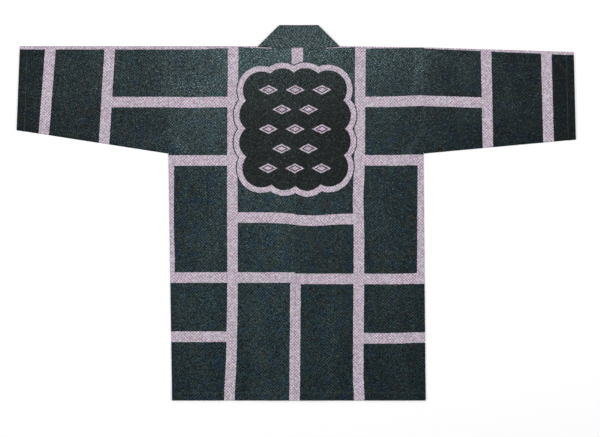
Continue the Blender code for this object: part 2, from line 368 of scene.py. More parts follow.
# Lines of the mesh: how far they stand from an edge and from a hem, the widths that they are spread
# over, and their turns round a fold, with each one's turn from the nearer side
EDGE = (0.7, 1.8, 3.4, 6.0)
HEM_EDGE = (0.7, 1.8, 4.5, 10.0, 15.0, 17.5, 19.5, 21.5, 25.0)
OUTER_WIDTH = 210.0
INNER_WIDTH = 90.0
SLEEVE_DEPTH = 230.0
FOLD_ARC = np.linspace(0.0, math.pi, 10)
FOLD_TURNS = FOLD_ARC[1:-1]
FOLD_NEARER = np.minimum(FOLD_ARC, math.pi - FOLD_ARC)[None, :]
FOLD_MIDDLE = len(FOLD_ARC) // 2

# How far above the underarm the side opens, over what height rows are drawn down to the shoulder
# fold, over what width a shoulder slopes, and half the height of the fold at a sleeve's foot
ARMHOLE_STEP = 4.0
TUCK_REACH = 40.0
SLOPE_WIDTH = 205.0
FOOT_RADIUS = 1.5

# The collar's lines: across it, round its two bends, down to the mitre, round it and down the front
COLLAR_LINES = 10
COLLAR_BENDS = (9, 5)
COLLAR_ROWS = (31, 12, 121)
COLLAR_ROW_GRADING = 0.4
COLLAR_RISE_START = 0.6
SLOT_ROUNDING = 0.02


def mix(a, b, share):
    return a + (b - a) * share


def ease(share):
    share = np.clip(share, 0.0, 1.0)
    return share * share * (3 - 2 * share)


def graded(length, step, first=(), last=()):
    """Positions from 0 to length, a step apart, and finer at given distances from either end."""
    low = first[-1] if first else 0.0
    high = length - last[-1] if last else length
    middle = np.linspace(low, high, max(1, round((high - low) / step)) + 1)
    start = [0.0, *first[:-1]] if first else []
    end = [*(length - short for short in last[-2::-1]), length] if last else []
    return np.array([*start, *middle, *end])


def rumple(x, y, size, seed):
    """A smooth random height from -1 to 1, with hollows and rises of about a size."""
    flat = zip(np.ravel(x) / size, np.ravel(y) / size)
    return np.array([noise.noise((a, b, seed)) for a, b in flat]).reshape(np.shape(x))


# The sizes that the lay takes over, in millimetres
LENGTHS = "wall body_length armhole reach neck collar_top collar_width hem_seam step".split()


class Lay:
    """How the cloth lies, from the coat's sizes. All lengths are in millimetres from its zero."""

    def __init__(self, sizes):
        for name in LENGTHS:
            setattr(self, name, getattr(sizes, name) / MM)
        self.front_middle = self.wall / 2
        self.band_thickness = 2 * self.wall + SEAM_GAP
        self.strip_rise = self.band_thickness + SEAM_GAP - self.wall - LAYER_GAP
        lean = [half.hand * (self.reach + half.cuff_lean) for half in HALVES]
        self.zero = Vector((-sum(lean) / 2, (self.body_length - self.collar_top) / 2, 0)) * MM

    def down(self, y):
        return np.clip(-y / self.body_length, 0.0, 1.0)

    def centre_back(self, y):
        return CENTRE_BACK_DRIFT * self.down(y)

    def collar_centre(self, y):
        return mix(COLLAR_SHIFT, CENTRE_BACK_DRIFT, self.down(y))

    def side(self, half, y):
        below_arm = np.maximum(0.0, -y - self.armhole) / (self.body_length - self.armhole)
        return half.hand * mix(half.side_top, half.side_hem, below_arm)

    def front_seam(self, half, y):
        out = mix(self.neck, self.hem_seam, ease(self.down(y)))
        return self.collar_centre(y) + half.hand * out

    def over_strip(self, x, y):
        """1 above a front stretch of the collar, falling to 0 beside it."""
        most = 0.0
        for half in HALVES:
            outer = half.hand * (self.front_seam(half, y) - self.collar_centre(y))
            here = half.hand * (x - self.collar_centre(y))
            away = np.maximum(np.maximum(outer - self.collar_width - here, here - outer), 0.0)
            most = np.maximum(most, 1 - ease(away / STRIP_SHOULDER))
        return most

    def creases(self, x, y):
        total = np.zeros(np.shape(x))
        for crease in CREASES:
            turn = math.radians(crease.turn)
            along = (x - crease.x) * math.cos(turn) + (y - crease.y) * math.sin(turn)
            across = (y - crease.y) * math.cos(turn) - (x - crease.x) * math.sin(turn)
            # A crease wanders a little along its length
            wander = np.sin(along / crease.width * CREASE_WANDER_RATE + crease.x)
            across = across + CREASE_WANDER * crease.width * wander
            shape = np.exp(-((along / crease.length) ** 2) - (across / crease.width) ** 2)
            total += crease.height * shape
        return total

    def crest(self, x, y):
        return np.maximum(self.creases(x, y), 0.0)

    def back_height(self, x, y):
        """The middle of the upper layer's wall above the floor."""
        swell = sum(part.rise * rumple(x, y, part.size, part.seed) for part in SWELLS)
        bare = self.front_middle + self.wall + LAYER_GAP
        return bare + self.strip_rise * self.over_strip(x, y) + self.creases(x, y) + swell

    def fold(self, x, y):
        """How far the middle of the wall stops short of a fold's outer edge."""
        return self.wall / 2 + (self.back_height(x, y) - self.front_middle) / 2

    def neck_edge(self, x):
        share = np.minimum(1.0, np.abs(x - COLLAR_SHIFT) / self.neck)
        return -self.fold(x, np.zeros(np.shape(x))) - NECK_DIP * (1 - share**4)

    def pull(self, x, y):
        """How far the back's cloth is drawn along itself at a point: sideways and down."""
        drawn = np.zeros((*np.shape(x), 2))
        for sag in SAGS:
            share = np.exp(-(((x - sag.x) / sag.width) ** 2) - ((y - sag.y) / sag.depth) ** 2)
            drawn += share[..., None] * np.array((-sag.aside, sag.drop))
        return drawn

    def sewn(self, height, seam, hem, along, seed):
        """The upper layer's height after its seams dip and pucker and its hem is turned."""
        ripple = rumple(along, np.full(np.shape(along), seed), PUCKER_SIZE, seed)
        pucker = PUCKER_RISE * ripple * np.exp(-seam / PUCKER_REACH)
        dip = SEAM_DIP * np.exp(-((seam / SEAM_DIP_REACH) ** 2))
        turned = HEM_RISE * (1 - ease((hem - HEM_TURN) / HEM_SLOPE))
        return height + pucker - dip + turned


class Cloth:
    """Cloth as it is put together: its points, and its quads with their places in the cut."""

    def __init__(self):
        self.points = []
        self.seams = []
        self.hems = []
        self.crests = []
        self.quads = []
        self.cuts = []
        self.count = 0

    def lay(self, x, y, z, seam, hem, crest=0.0):
        """Adds points in any array's shape, and gives their numbers."""
        shape = np.shape(x)
        places = np.stack([np.broadcast_to(c, shape) for c in (x, y, z)], -1)
        self.points.append(places.reshape(-1, 3))
        for kept, values in ((self.seams, seam), (self.hems, hem), (self.crests, crest)):
            kept.append(np.broadcast_to(values, shape).ravel())
        numbers = np.arange(self.count, self.count + np.size(x)).reshape(shape)
        self.count += np.size(x)
        return numbers

    def weave(self, numbers, cut):
        """Quads over a grid of points. cut holds each point's place in the flat cloth."""
        for kept, grid in ((self.quads, numbers[..., None]), (self.cuts, cut)):
            corners = (grid[:-1, :-1], grid[:-1, 1:], grid[1:, 1:], grid[1:, :-1])
            kept.append(np.stack([c.reshape(-1, grid.shape[-1]) for c in corners], 1))

    def join(self, axis, *parts):
        """Weaves parts, each given by its points' numbers and places in the cut, as one grid."""
        self.weave(*(np.concatenate(grids, axis) for grids in zip(*parts)))

    def weave_closed(self, numbers, first_cut, last_cut):
        """Quads round a fold with a seam along its middle, where one side of the cut ends."""
        self.weave(numbers[:, : FOLD_MIDDLE + 1], first_cut[:, : FOLD_MIDDLE + 1])
        self.weave(numbers[:, FOLD_MIDDLE:], last_cut[:, FOLD_MIDDLE:])

    def mesh(self, name, zero, caps=()):
        points = np.concatenate(self.points) * MM + np.array(zero)
        faces = [*np.concatenate(self.quads)[..., 0].tolist(), *caps]
        mesh = bpy.data.meshes.new(name)
        mesh.from_pydata(points.tolist(), [], faces)
        layer = mesh.uv_layers.new(name="cut")
        cuts = np.concatenate(self.cuts).reshape(-1, 2)
        places = np.zeros((len(mesh.loops), 2))
        places[: len(cuts)] = cuts * MM
        places[len(cuts) :] = cuts[-1] * MM
        layer.data.foreach_set("uv", places.ravel())
        for label, values in (("seam", self.seams), ("hem", self.hems), ("crest", self.crests)):
            attribute = mesh.attributes.new(label, "FLOAT", "POINT")
            attribute.data.foreach_set("value", np.concatenate(values) * MM)
        mesh.validate()
        return mesh


def body_cloth(lay, half):
    """One panel from the back hem over the shoulder to the front hem, with the side closed."""
    cloth = Cloth()
    hand = half.hand
    lower = graded(lay.body_length - lay.armhole, lay.step, first=HEM_EDGE) - lay.body_length
    opening = lay.armhole - ARMHOLE_STEP
    upper = graded(opening, lay.step, last=EDGE) - opening
    levels = np.concatenate([lower, upper])[:, None]
    closed = len(lower)
    outer_shares = graded(OUTER_WIDTH, lay.step, last=EDGE)[None, :] / OUTER_WIDTH
    inner_shares = graded(INNER_WIDTH, lay.step, first=EDGE)[None, :] / INNER_WIDTH
    tuck = 1 - ease(-levels / TUCK_REACH)
    hem = lay.body_length + levels

    def outer_place(inner):
        side = lay.side(half, levels)
        inset = np.where(levels <= -lay.armhole, hand * lay.fold(side, levels), 0.0)
        x = mix(inner, side - inset, outer_shares)
        top = -half.shoulder_drop * outer_shares - lay.fold(x[-1:], np.zeros(x[-1:].shape))
        return x, levels + top * tuck, np.abs(side - inset - x)

    def cut_place(x, y, past_fold):
        across = x - lay.centre_back(y)
        drop = half.shoulder_drop * np.clip(hand * (x - lay.neck * hand) / SLOPE_WIDTH, 0, 1)
        down = y + drop * (1 + y / lay.body_length)
        if past_fold:
            return np.stack([across, -down], -1)
        return np.stack([across, down], -1) + lay.pull(x, y)

    # The back, from the line above the front's inner edge out to the side
    back_x, back_y, seam = outer_place(lay.front_seam(half, levels))
    height = lay.back_height(back_x, back_y)
    back_z = lay.sewn(height, seam, hem, back_y, PUCKER_SEEDS["body"] + hand)
    back = cloth.lay(back_x, back_y, back_z, seam, hem, lay.crest(back_x, back_y))
    back_cut = cut_place(back_x, back_y, False)
    cloth.weave(back, back_cut)

    # The front, flat on the floor
    front_x, y, seam = outer_place(lay.front_seam(half, levels) + hand * SEAM_LINE / 2)
    edge = np.minimum(seam, np.abs(front_x - front_x[:, :1]))
    front = cloth.lay(front_x, y, lay.front_middle, edge, hem)
    front_cut = cut_place(front_x, y, True)
    cloth.weave(front, front_cut)

    # The shoulder fold
    turn = FOLD_TURNS[:, None]
    radius = (back_z[-1:] - lay.front_middle) / 2
    x = mix(back_x[-1:], front_x[-1:], turn / math.pi)
    y = back_y[-1:] + radius * np.sin(turn)
    z = lay.front_middle + radius * (1 + np.cos(turn))
    fold = cloth.lay(x, y, z, seam[-1:], lay.body_length)
    share = (turn / math.pi)[..., None]
    fold_cut = mix(back_cut[-1:], front_cut[-1:], share)
    cloth.join(0, (back[-1:], back_cut[-1:]), (fold, fold_cut), (front[-1:], front_cut[-1:]))

    # The back's inner part, from the centre-back seam
    centre = lay.centre_back(levels) + hand * SEAM_LINE / 2
    x = mix(centre, lay.front_seam(half, levels), inner_shares)[:, :-1]
    neck = lay.neck_edge(x[-1:])
    y = levels + neck * tuck
    seam = np.minimum(np.abs(x - centre), np.abs(neck - y))
    z = lay.sewn(lay.back_height(x, y), seam, hem, x + y, PUCKER_SEEDS["centre"])
    inner = cloth.lay(x, y, z, seam, hem, lay.crest(x, y))
    cloth.join(1, (inner, cut_place(x, y, False)), (back[:, :1], back_cut[:, :1]))

    # The side fold below the armhole, with its seam along the middle
    turn = FOLD_TURNS[None, :]
    radius = (back_z[:closed, -1:] - lay.front_middle) / 2
    x = back_x[:closed, -1:] + hand * radius * np.sin(turn)
    z = lay.front_middle + radius * (1 + np.cos(turn))
    y = np.broadcast_to(back_y[:closed, -1:], x.shape)
    fold = cloth.lay(x, y, z, np.abs(turn - math.pi / 2) * radius, hem[:closed])
    numbers = np.concatenate([back[:closed, -1:], fold, front[:closed, -1:]], 1)
    around = radius * FOLD_NEARER
    out = np.stack([hand * around, 0 * around], -1)
    cloth.weave_closed(numbers, back_cut[:closed, -1:] + out, front_cut[:closed, -1:] + out)
    return cloth


def sleeve_cloth(lay, half):
    """One sleeve, rings from the armhole to the cuff, folded at the top and sewn along the foot."""
    cloth = Cloth()
    hand = half.hand
    shoulder = lay.side(half, 0.0) + hand * SEAM_LINE
    length = lay.reach - abs(shoulder)
    out = (graded(length, lay.step, first=EDGE, last=HEM_EDGE) / length)[:, None]
    up = (graded(SLEEVE_DEPTH, lay.step, first=EDGE, last=EDGE) / SLEEVE_DEPTH)[None, :]
    fold_x = mix(shoulder, hand * lay.reach, out)
    foot_x = mix(shoulder, hand * (lay.reach + half.cuff_lean), out)
    fold_y = -mix(half.shoulder_drop, half.cuff_drop, out)
    foot_y = mix(-lay.armhole, -half.cuff_drop - half.cuff_depth, out)
    top = fold_y - lay.fold(fold_x, fold_y)
    foot = foot_y + lay.fold(foot_x, foot_y)
    x = mix(foot_x, fold_x, up)
    y = mix(foot, top, up)
    seam = np.broadcast_to(out * length, x.shape)
    hem = length * (1 - out) + 0 * x
    foot_seam = np.minimum(seam, np.abs(y - foot))
    seed = PUCKER_SEEDS["sleeve"] + hand
    z = lay.sewn(lay.back_height(x, y), foot_seam, hem, x + y, seed)
    slope = (half.cuff_drop - half.shoulder_drop) / length
    below = y + half.shoulder_drop + slope * (np.abs(x) - abs(shoulder))

    def fold_from(edge, way, seam):
        """Lays a fold that bulges along Y, from the upper layer's edge to the lower layer."""
        radius = (z[:, edge, None] - lay.front_middle) / 2
        along = y[:, edge, None] + way * radius * np.sin(FOLD_TURNS)
        high = lay.front_middle + radius * (1 + np.cos(FOLD_TURNS))
        at = np.broadcast_to(x[:, edge, None], along.shape)
        return cloth.lay(at, along, high, seam, hem[:, :1])

    over = cloth.lay(x, y, z, foot_seam, hem, lay.crest(x, y))
    under = cloth.lay(x, y, lay.front_middle, foot_seam, hem)
    over_cut = np.stack([x, below], -1)
    under_cut = np.stack([x, -below], -1)
    cloth.weave(over, over_cut)
    cloth.weave(under[:, ::-1], under_cut[:, ::-1])

    fold = fold_from(-1, 1, seam[:, :1])
    share = (FOLD_TURNS / math.pi)[None, :, None]
    fold_cut = mix(over_cut[:, -1:], under_cut[:, -1:], share)
    upper, lower = (over[:, -1:], over_cut[:, -1:]), (under[:, -1:], under_cut[:, -1:])
    cloth.join(1, upper, (fold, fold_cut), lower)

    fold = fold_from(0, -1, 0.0)
    numbers = np.concatenate([over[:, :1], fold, under[:, :1]], 1)[:, ::-1]
    around = FOOT_RADIUS * FOLD_NEARER + 0 * out
    down = np.stack([0 * around, around], -1)
    cloth.weave_closed(numbers, under_cut[:, :1] + down, over_cut[:, :1] - down)
    return cloth


def band_section(lay):
    """Across the collar: shares of its width, distances short of its free edge, and heights."""
    thick = lay.band_thickness / 2
    slot = SEAM_GAP / 2
    slot_end = slot + SLOT_ROUNDING
    section = []
    for end, radius, rise, start, bends in (
        (thick, thick, thick, 90, COLLAR_BENDS[0]),
        (lay.wall + slot_end, slot_end, slot, -90, COLLAR_BENDS[1]),
    ):
        turns = np.radians(np.linspace(start, -start, bends))
        flat = [(share, end * (share == 1)) for share in np.linspace(0.0, 1.0, COLLAR_LINES)]
        section += [(*place, rise * math.sin(turns[0])) for place in flat]
        section += [(1, end - radius * math.cos(t), rise * math.sin(t)) for t in turns[1:-1]]
        section += [(*place, rise * math.sin(turns[-1])) for place in flat[::-1]]
    return np.array(section)


def collar_rows(lay, half):
    """Rows across the band from the centre back to one hem: seam edges, free edges and ups."""
    hand = half.hand
    thick = lay.band_thickness
    radius = (thick + SEAM_GAP) / 2
    middle = SEAM_GAP + 1.5 * thick
    roll = radius + thick / 2
    neck_x = COLLAR_SHIFT + hand * (lay.neck - MITRE_CLEARANCE - roll * math.sqrt(2))
    seam_y = lay.neck_edge(lay.front_seam(half, 0.0)) + SEAM_GAP + MITRE_CLEARANCE
    seam_start = np.array((neck_x - hand * seam_y, seam_y, 0.0))
    free_start = np.array((neck_x - hand * lay.collar_top, lay.collar_top, 0.0))
    rows = []
    back_rows, turn_rows, front_rows = COLLAR_ROWS
    for share in np.linspace(0.0, 1.0, back_rows)[:-1]:
        seam_x = mix(COLLAR_SHIFT, seam_start[0], share)
        free_x = mix(COLLAR_SHIFT, free_start[0], share)
        edge = lay.neck_edge(seam_x) + SEAM_GAP
        # The clearance opens over the outer half, and the band rises a little before it
        seam_y = edge + MITRE_CLEARANCE * ease(2 * share - 1)
        over = lay.over_strip(seam_x, 0.0)
        risen = max(over, ease(2 * share - COLLAR_RISE_START))
        z = middle - lay.strip_rise * (1 - risen)
        rows.append(((seam_x, seam_y, z), (free_x, lay.collar_top, z), (0, 0, 1)))
    along = np.array((-hand, 1, 0)) / math.sqrt(2)
    outward = np.array((hand, 1, 0)) / math.sqrt(2)
    for angle in np.linspace(0.0, math.pi, turn_rows):
        up = outward * math.sin(angle) + np.array((0, 0, math.cos(angle)))
        shift = up * radius - along * radius * angle + np.array((0, 0, middle - radius))
        rows.append((seam_start + shift, free_start + shift, up))
    seam_end, free_end = rows[-1][0], rows[-1][1]
    hem_y = -lay.body_length + COLLAR_SHORT_OF_HEM
    for share in np.linspace(0.0, 1.0, front_rows)[1:]:
        seam_y = mix(seam_end[1], hem_y, mix(share * share, share, COLLAR_ROW_GRADING))
        gone = seam_end[1] - seam_y
        slant = 1 - ease(gone / MITRE_TURN_LENGTH)
        free_y = seam_y + (free_end[1] - seam_end[1]) * slant
        start = ease(gone / lay.collar_width)
        seam_x = lay.front_seam(half, seam_y) - hand * SEAM_GAP / 2
        free_x = lay.front_seam(half, min(free_y, 0.0)) - hand * lay.collar_width
        seam = (mix(seam_end[0], seam_x, start), seam_y, thick / 2)
        rows.append((seam, (mix(free_end[0], free_x, start), free_y, thick / 2), (0, 0, -1)))
    return rows


def collar_cloth(lay):
    """The folded band, in rings round its section from one hem to the other."""
    cloth = Cloth()
    left, right = (collar_rows(lay, half) for half in HALVES)
    seam, free, up = (np.array(side, float) for side in zip(*(left[::-1] + right[1:])))
    width = np.linalg.norm(free - seam, axis=1)[:, None]
    across = (free - seam) / width
    share, short, height = band_section(lay).T
    reach = share[None, :] * width - short[None, :]
    # The upper side is a little full, with soft ripples from the stitched neck
    place = seam[:, None, :] + across[:, None, :] * reach[..., None]
    bare = ease(up[:, 2:])
    full = np.sin(np.pi * np.clip(share, 0, 1)) * (height == height.max())
    swell = rumple(place[..., 0], place[..., 1], COLLAR_SWELL.size, COLLAR_SWELL.seed)
    lift = bare * full * (COLLAR_FULLNESS + COLLAR_SWELL.rise * swell)
    place = place + up[:, None, :] * (height[None, :] + lift)[..., None]
    numbers = cloth.lay(*np.moveaxis(place, -1, 0), reach, lay.body_length)
    step = np.linalg.norm(np.diff((seam + free) / 2, axis=0), axis=1)
    along = np.concatenate([[0.0], np.cumsum(step)])[:, None]
    walk = np.hypot(np.diff(share * lay.collar_width - short), np.diff(height))
    around = np.concatenate([[0.0], np.cumsum(walk), [np.sum(walk) + lay.wall]])[None, :]
    cut = np.stack([np.broadcast_to(around, (len(along), around.size)), along + 0 * around], -1)
    cloth.weave(np.concatenate([numbers, numbers[:, :1]], 1), cut)
    return cloth, [numbers[0].tolist()[::-1], numbers[-1].tolist()]


def deselect():
    bpy.ops.object.select_all(action="DESELECT")


def finish_cloth(cloth, node, lay, material, caps=(), wall=True):
    """Makes a cloth an object in its solid's place, with its wall, rounded edges and dye."""
    deselect()
    name = "cloth_" + node
    made = bpy.data.objects.new(name, cloth.mesh(name, lay.zero, caps))
    bpy.context.scene.collection.objects.link(made)
    made.select_set(True)
    bpy.context.view_layer.objects.active = made
    bpy.ops.object.mode_set(mode="EDIT")
    bpy.ops.mesh.select_all(action="SELECT")
    bpy.ops.mesh.normals_make_consistent(inside=False)
    bpy.ops.object.mode_set(mode="OBJECT")
    if wall:
        shell = made.modifiers.new("wall", "SOLIDIFY")
        shell.thickness = lay.wall * MM
        shell.offset = 0
        shell.use_even_offset = True
        bpy.ops.object.modifier_apply(modifier=shell.name)
    soften = made.modifiers.new("soft edges", "BEVEL")
    soften.width = EDGE_ROUNDING * MM
    soften.segments = 2
    soften.limit_method = "ANGLE"
    soften.angle_limit = math.radians(ROUNDED_ABOVE)
    bpy.ops.object.modifier_apply(modifier=soften.name)
    bpy.ops.object.shade_smooth_by_angle(angle=math.radians(SMOOTH_BELOW))
    made.data.materials.clear()
    made.data.materials.append(material)
    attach(made, "root")
    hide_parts(node)
    return made


class Value:
    """A number that varies over the cloth. Sums on it add the nodes that work them out."""

    def __init__(self, dye, socket):
        self.dye = dye
        self.socket = socket

    def sum(self, operation, *others, clamp=False):
        settings = {"operation": operation, "use_clamp": clamp}
        node = self.dye.node("ShaderNodeMath", settings, dict(enumerate((self, *others))))
        return Value(self.dye, node.outputs[0])

    def __add__(self, other):
        return self.sum("ADD", other)

    def __sub__(self, other):
        return self.sum("SUBTRACT", other)

    def __rsub__(self, other):
        return self.sum("MULTIPLY_ADD", -1.0, other)

    def __mul__(self, other):
        return self.sum("MULTIPLY", other)

    def __truediv__(self, other):
        return self.sum("DIVIDE", other)

    def __neg__(self):
        return self.sum("MULTIPLY", -1.0)

    def __abs__(self):
        return self.sum("ABSOLUTE")

    __radd__ = __add__
    __rmul__ = __mul__

    def least(self, other):
        return self.sum("MINIMUM", other)

    def most(self, other):
        return self.sum("MAXIMUM", other)

    def within(self, soft):
        """1 where the number is above zero, 0 where it is below, over a soft edge."""
        return self.sum("MULTIPLY_ADD", 1 / soft, 0.5, clamp=True)

    def rise(self, low, high):
        """0 below low and 1 above high, with a straight slope between."""
        return self.sum("MULTIPLY_ADD", 1 / (high - low), -low / (high - low), clamp=True)


class Dye:
    """A material's nodes, and the few ways in which they are added."""

    def __init__(self, name):
        self.material = bpy.data.materials.new(name)
        self.material.use_nodes = True
        self.tree = self.material.node_tree
        self.shader = self.tree.nodes["Principled BSDF"]

    def node(self, kind, settings, inputs):
        node = self.tree.nodes.new(kind)
        for name, value in settings.items():
            setattr(node, name, value)
        for name, value in inputs.items():
            self.feed(node.inputs[name], value)
        return node

    def feed(self, socket, value):
        if isinstance(value, Value):
            value = value.socket
        if isinstance(value, bpy.types.NodeSocket):
            self.tree.links.new(value, socket)
        else:
            socket.default_value = value

    def value(self, socket):
        return Value(self, socket)

    def cut(self):
        """The place in the flat cloth in metres: across it, and along it from the shoulder fold."""
        place = self.node("ShaderNodeUVMap", {"uv_map": "cut"}, {})
        parts = self.node("ShaderNodeSeparateXYZ", {}, {0: place.outputs[0]})
        return self.value(parts.outputs[0]), self.value(parts.outputs[1])

    def stored(self, label):
        """A number that the cloth's points hold."""
        found = self.node("ShaderNodeAttribute", {"attribute_name": label}, {})
        return self.value(found.outputs["Fac"])

    def vector(self, x, y, z=0.0):
        return self.node("ShaderNodeCombineXYZ", {}, {0: x, 1: y, 2: z}).outputs[0]

    def grain(self, x, y, seed, detail):
        """Smooth noise from 0 to 1 over a place whose numbers are already in its grain's size."""
        inputs = {"Vector": self.vector(x, y, seed), "Scale": 1.0, "Detail": detail}
        return self.value(self.node("ShaderNodeTexNoise", {}, inputs).outputs["Fac"])

    def blend(self, share, first, second):
        """The first colour, with a share of the second over it."""
        inputs = {"Factor": share, 6: first, 7: second}
        return self.node("ShaderNodeMix", {"data_type": "RGBA"}, inputs).outputs[2]

    def scaled(self, colour, amount):
        """A colour made lighter or darker by a varying amount."""
        if not isinstance(colour, bpy.types.NodeSocket):
            colour = colour[:3]
        inputs = {0: colour, "Scale": amount}
        return self.node("ShaderNodeVectorMath", {"operation": "SCALE"}, inputs).outputs[0]


def wave(place, pitch):
    return (place * (math.pi / pitch)).sum("SINE")


class Weave:
    """A coarse plain weave, and the grains and marks that its dye, its gloss and its painted glints
    follow.
    """

    def __init__(self, dye, sizes, seed):
        self.dye = dye
        self.seed = seed
        self.yarn = sizes.yarn_pitch
        self.across, self.along = dye.cut()
        self.out, self.depth = abs(self.across), abs(self.along)
        drift = (self.grain(DRIFT) - 0.5) * (YARN_DRIFT * self.yarn)
        self.warp_at, self.weft_at = self.across + drift, self.along - drift
        warp, weft = wave(self.warp_at, self.yarn), wave(self.weft_at, self.yarn)
        self.over = warp * weft * 0.5 + 0.5
        self.crown = self.on_top(abs(warp), abs(weft))
        self.hatch = wave(self.across, sizes.hatch) * wave(self.along, sizes.hatch) * 0.5 + 0.5

        # Each yarn is thicker and lighter in places, and has small bright knots
        self.thread = self.on_top(*self.marks(SLUB))
        self.yarns = self.on_top(*self.marks(TONE)).rise(*TONE_RANGE)
        warp_fleck, weft_fleck = self.marks(FLECK)
        self.nep = warp_fleck.most(weft_fleck).rise(*NEP_RANGE)

        self.heather = self.grain(HEATHER, (self.warp_at, self.weft_at))
        self.cloudy = self.grain(CLOUDY)
        self.tint = self.grain(TINT)
        self.green = self.grain(GREEN)
        self.streak = self.grain(STREAK)
        self.shade = self.grain(SHADE)
        self.glint = self.grain(GLINT)

    def grain(self, grain, place=None):
        """Smooth noise from 0 to 1, over the flat cloth or over its drifting yarns."""
        x, y = place or (self.across, self.along)
        seed = self.seed + grain.seed
        found = self.dye.grain(x * grain.across, y * grain.along, seed, grain.detail)
        return found.rise(grain.start, grain.full) if grain.full else found

    def marks(self, mark):
        """Noise from 0 to 1 that runs along the warp, and the same along the weft."""
        width, length = mark.width / self.yarn, mark.length
        warp_seed, weft_seed = self.seed + mark.warp_seed, self.seed + mark.weft_seed
        warp = self.dye.grain(self.warp_at * width, self.along * length, warp_seed, 1.0)
        weft = self.dye.grain(self.across * length, self.weft_at * width, weft_seed, 1.0)
        return warp, weft

    def on_top(self, warp, weft):
        """The warp's number where the warp lies on top, and the weft's where it does."""
        return warp * self.over + weft * (1.0 - self.over)

    def weighed(self, shares):
        """The sum of some of the weave's numbers, each by its share."""
        whole = 0.0
        for name, share in shares.items():
            whole = getattr(self, name) * share + whole
        return whole


def band_mask(across, along, bands, half_width):
    """1 on the pale bands, at a place in the cut."""
    depth = abs(along)
    soft = BAND_SOFT * MM
    whole = None
    for runs, band in ((runs, Band(*row)) for runs, rows in bands.items() for row in rows):
        if runs == "down":
            off, run = across - depth * band.lean - band.at * MM, depth
        elif runs == "across":
            off, run = depth - band.at * MM, across
        else:
            off, run = along - across * band.lean - band.at * MM, across
        mask = (half_width - abs(off)).within(soft)
        mask = mask.least((run - band.start * MM).within(soft))
        mask = mask.least((band.end * MM - run).within(soft))
        whole = mask if whole is None else whole.most(mask)
    return whole


def panel_distance(dye, x, y):
    """Distance outside the black panel's edge, negative inside it."""
    core_x, core_y = (size * MM for size in PANEL_CORE)
    nearest = (abs(x) - core_x).most(abs(y) - core_y)
    here = dye.vector(x, y)
    for lobe in PANEL_LOBES:
        inputs = {0: here, 1: (lobe.x * MM, lobe.y * MM, 0.0)}
        apart = dye.node("ShaderNodeVectorMath", {"operation": "DISTANCE"}, inputs)
        nearest = nearest.least(dye.value(apart.outputs["Value"]) - lobe.radius * MM)
    return nearest


def lozenge_mask(x, y):
    """1 on the lozenges, one inside another, in staggered rows."""
    pitch_x, pitch_y = (size * MM for size in LOZENGE_PITCH)
    wide, high = (size * MM for size in LOZENGE)
    rim_width, soft = LOZENGE_RIM * MM, LOZENGE_SOFT * MM
    # The whole number keeps every row's and column's place positive, and the half centres them
    rows = y / pitch_y + 10.5
    odd = rows.sum("FLOOR").sum("MODULO", 2.0)
    columns = x / pitch_x + 10.5 - odd * 0.5
    cell_x = (columns.sum("FRACT") - 0.5) * pitch_x
    cell_y = (rows.sum("FRACT") - 0.5) * pitch_y
    slant = high / math.hypot(wide, high)
    inward = (1.0 - abs(cell_x) / wide - abs(cell_y) / high) * (wide * slant)
    rim = inward.within(soft).least((rim_width - inward).within(soft))
    core = (inward - rim_width * LOZENGE_CORE).within(soft)
    room_x = (LOZENGE_REACH * pitch_x - abs(x) - odd * pitch_x * 0.5).within(BAND_SOFT * MM)
    room_y = ((LOZENGE_ROWS + 0.5) * pitch_y - abs(y)).within(BAND_SOFT * MM)
    return rim.most(core).least(room_x).least(room_y)


def pattern(weave, sizes, bands, with_panel):
    """1 where the cloth is pale, and 1 on the black panel."""
    # The dye's edges wander a little from yarn to yarn
    wobble_x, wobble_y = ((weave.grain(way) - 0.5) * (WOBBLE_REACH * MM) for way in WOBBLES)
    x, y = weave.across + wobble_x, weave.along + wobble_y
    pale = band_mask(x, y, bands, sizes.band_width / 2)
    if not with_panel:
        return pale, None
    x, y = x - PANEL_MIDDLE[0] * MM, y - PANEL_MIDDLE[1] * MM
    outside = panel_distance(weave.dye, x, y)
    soft = PANEL_SOFT * MM
    line = ((PANEL_OUTLINE + PANEL_LINE) * MM - outside).within(soft)
    outline = (PANEL_OUTLINE * MM - outside).within(soft)
    inside = (-outside).within(soft)
    pale = pale.least(1.0 - line).most(outline).least(1.0 - inside)
    return pale.most(inside * lozenge_mask(x, y)), inside


def sheen_and_thin_dye_share(weave, dyed):
    """The painted sheen near the neck and on crease tops, with the thin dye and the lightening
    round the underarm, from 0 to 1.
    """
    # Painted sheen: a painted highlight that fades down and out from the neck, in clouds, and is
    # stronger on the tops of creases
    down = (1.0 - weave.depth / (PAINTED_SHEEN.down * MM)).most(0.0)
    painted_sheen_and_thin_dye = down * (1.0 - weave.out / (PAINTED_SHEEN.out * MM)).most(0.0)
    painted_sheen_and_thin_dye = painted_sheen_and_thin_dye * (PAINTED_SHEEN.even + weave.cloudy * PAINTED_SHEEN.cloudy)
    painted_sheen_and_thin_dye = painted_sheen_and_thin_dye + weave.dye.stored("crest") * PAINTED_SHEEN.crest
    # Then the thin dye of each piece, in clouds, and a lightening round the underarm
    painted_sheen_and_thin_dye = painted_sheen_and_thin_dye + dyed.thin * (THIN_EVEN + weave.cloudy * THIN_CLOUDY)
    if dyed.underarm:
        off_x = weave.out - UNDERARM_MIDDLE[0] * MM
        off_y = weave.depth - UNDERARM_MIDDLE[1] * MM
        near = 1.0 - (off_x * off_x + off_y * off_y) / (UNDERARM_REACH * MM) ** 2
        painted_sheen_and_thin_dye = painted_sheen_and_thin_dye + near.most(0.0) * dyed.underarm
    return painted_sheen_and_thin_dye.least(1.0)


